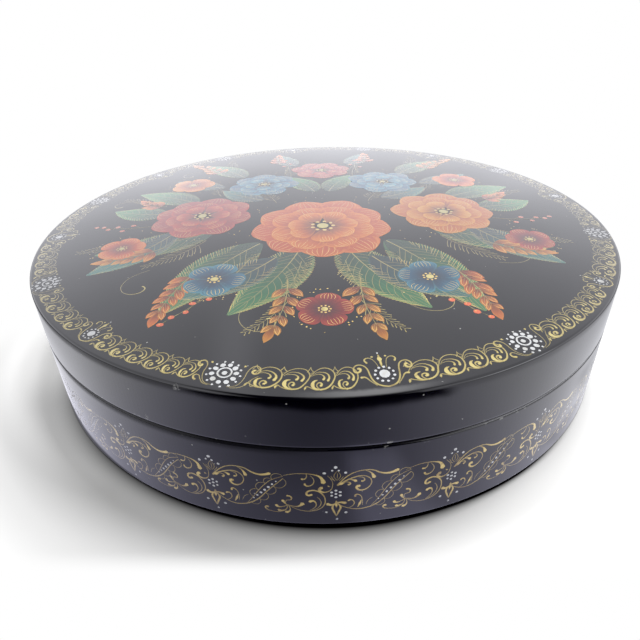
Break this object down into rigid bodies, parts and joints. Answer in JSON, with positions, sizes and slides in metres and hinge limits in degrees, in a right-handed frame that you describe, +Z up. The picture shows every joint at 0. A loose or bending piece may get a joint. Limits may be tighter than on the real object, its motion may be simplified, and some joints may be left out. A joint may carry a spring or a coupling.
{
  "type": "lacquer box",
  "caption": "Round lacquered papier-mache box with a shallow domed lift-off lid, a locating collar inside the base, and painted scroll borders; holds small keepsakes.",
  "frame": {"origin": "centre of the underside, on the surface that the box stands on", "axes": "+Z up along the box's axis of revolution; -Y faces the picture's viewer"},
  "size_m": [0.15, 0.15, 0.035],
  "materials": {
    "black_lacquer": "polished black lacquer over papier-mache",
    "red_lacquer": "polished red lacquer over papier-mache, the inside of the box",
    "gold_leaf": "hand-painted gold leaf lines, burnished",
    "white_enamel": "white dots and petals under clear lacquer",
    "painted_colours": "tempera colours under clear lacquer"
  },
  "bodies": {
    "base": {"base_wall": "black_lacquer", "base_floor": "red_lacquer", "collar": "red_lacquer"},
    "lid": {"lid_wall": "black_lacquer", "lid_panel": "black_lacquer"}
  },
  "joints": [
    {"name": "lid_lift", "type": "slide", "parent": "base", "child": "lid", "axis": [0, 0, 1], "range_m": [0, 0.06]}
  ]
}
